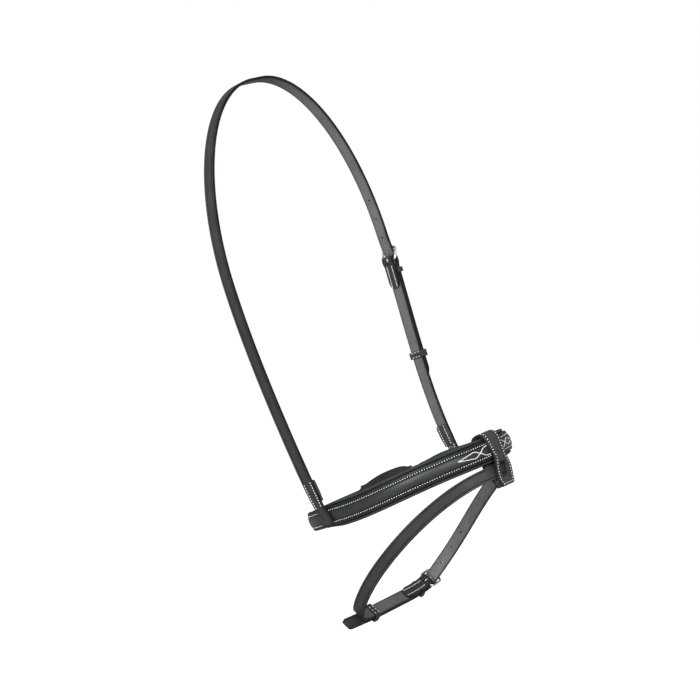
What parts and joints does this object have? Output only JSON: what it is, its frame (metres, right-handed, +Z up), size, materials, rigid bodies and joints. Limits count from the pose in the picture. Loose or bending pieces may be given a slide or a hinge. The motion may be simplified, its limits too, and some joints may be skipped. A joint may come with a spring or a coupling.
{
  "type": "bridle noseband",
  "caption": "Raised and padded leather bridle noseband on its own sliphead, with a chin strap, buckle guard pad, and a flash strap held by a stitched loop at the nose.",
  "frame": {"origin": "the seat on the poll: the flat underside of the sliphead's crown, in the middle of the head's width", "axes": "+Z up the head to the poll, +X to the front of the nose, +Y to the horse's left"},
  "size_m": [0.2193, 0.2354, 0.5386],
  "materials": {
    "bridle_leather": "smooth black bridle leather with a soft waxed sheen",
    "stitched_leather": "raised black leather with white thread, smooth and slightly glossy",
    "padded_lining": "soft padded black leather, matt",
    "suede_pad": "dark matt suede-like leather",
    "buckle_steel": "polished stainless steel"
  },
  "bodies": {
    "sliphead": {"crown_strap": "bridle_leather", "left_cheek_strap": "bridle_leather", "right_t_leaf": "bridle_leather", "left_t_leaf": "bridle_leather", "crown_fixed_keeper": "bridle_leather"},
    "crown_buckle_frame": {"crown_buckle_frame": "buckle_steel"},
    "crown_buckle_tongue": {"crown_buckle_tongue": "buckle_steel"},
    "crown_sliding_keeper": {"crown_sliding_keeper": "bridle_leather"},
    "noseband": {"noseband_backing": "bridle_leather", "noseband_facing": "stitched_leather", "noseband_lining": "padded_lining", "chin_billet": "bridle_leather", "chin_fixed_keeper": "bridle_leather", "buckle_pad": "suede_pad", "buckle_pad_loop": "bridle_leather", "flash_loop": "stitched_leather", "flash_loop_filler": "bridle_leather"},
    "chin_buckle_frame": {"chin_buckle_frame": "buckle_steel"},
    "chin_buckle_tongue": {"chin_buckle_tongue": "buckle_steel"},
    "chin_sliding_keeper": {"chin_sliding_keeper": "bridle_leather"},
    "flash_strap": {"flash_strap": "bridle_leather", "flash_fixed_keeper": "bridle_leather"},
    "flash_buckle_frame": {"flash_buckle_frame": "buckle_steel"},
    "flash_buckle_tongue": {"flash_buckle_tongue": "buckle_steel"},
    "flash_sliding_keeper": {"flash_sliding_keeper": "bridle_leather"}
  },
  "joints": [
    {"name": "noseband_tilt", "type": "hinge", "parent": "sliphead", "child": "noseband", "pos_m": [-0.00578, 0, -0.4169], "axis": [0, 1, 0], "range_deg": [-15, 15]},
    {"name": "flash_swing", "type": "hinge", "parent": "noseband", "child": "flash_strap", "pos_m": [0.12764, 0, -0.43424], "axis": [0, 1, 0], "range_deg": [-10, 12]},
    {"name": "crown_frame_lift", "type": "hinge", "parent": "sliphead", "child": "crown_buckle_frame", "pos_m": [-0.01285, 0.11152, -0.20486], "axis": [-0.9984, 0.0016, 0.0564], "range_deg": [0, 5]},
    {"name": "crown_tongue_lift", "type": "hinge", "parent": "crown_buckle_frame", "child": "crown_buckle_tongue", "pos_m": [-0.01285, 0.11152, -0.20486], "axis": [-0.9984, 0.0016, 0.0564], "range_deg": [0, 4]},
    {"name": "chin_frame_lift", "type": "hinge", "parent": "noseband", "child": "chin_buckle_frame", "pos_m": [-0.06919, 0.05188, -0.42016], "axis": [0.0617, -0.0053, -0.9981], "range_deg": [0, 5]},
    {"name": "chin_tongue_lift", "type": "hinge", "parent": "chin_buckle_frame", "child": "chin_buckle_tongue", "pos_m": [-0.06919, 0.05188, -0.42016], "axis": [0.0617, -0.0053, -0.9981], "range_deg": [0, 3]},
    {"name": "flash_frame_lift", "type": "hinge", "parent": "flash_strap", "child": "flash_buckle_frame", "pos_m": [-0.05987, 0.05109, -0.52187], "axis": [-0.5938, 0, 0.8046], "range_deg": [0, 5]},
    {"name": "flash_tongue_lift", "type": "hinge", "parent": "flash_buckle_frame", "child": "flash_buckle_tongue", "pos_m": [-0.05987, 0.05109, -0.52187], "axis": [-0.5938, 0, 0.8046], "range_deg": [0, 4]},
    {"name": "crown_keeper_slide", "type": "slide", "parent": "sliphead", "child": "crown_sliding_keeper", "axis": [0.0053, 0.0716, 0.9974], "range_m": [-0.012, 0.012]},
    {"name": "chin_keeper_slide", "type": "hinge", "parent": "noseband", "child": "chin_sliding_keeper", "pos_m": [0.0034, 0.017, -0.4157], "axis": [-0.0577, 0.0064, 0.9983], "range_deg": [-4, 3]},
    {"name": "flash_keeper_slide", "type": "slide", "parent": "flash_strap", "child": "flash_sliding_keeper", "axis": [-0.0095, 0.9999, -0.0071], "range_m": [0, 0.014]}
  ]
}
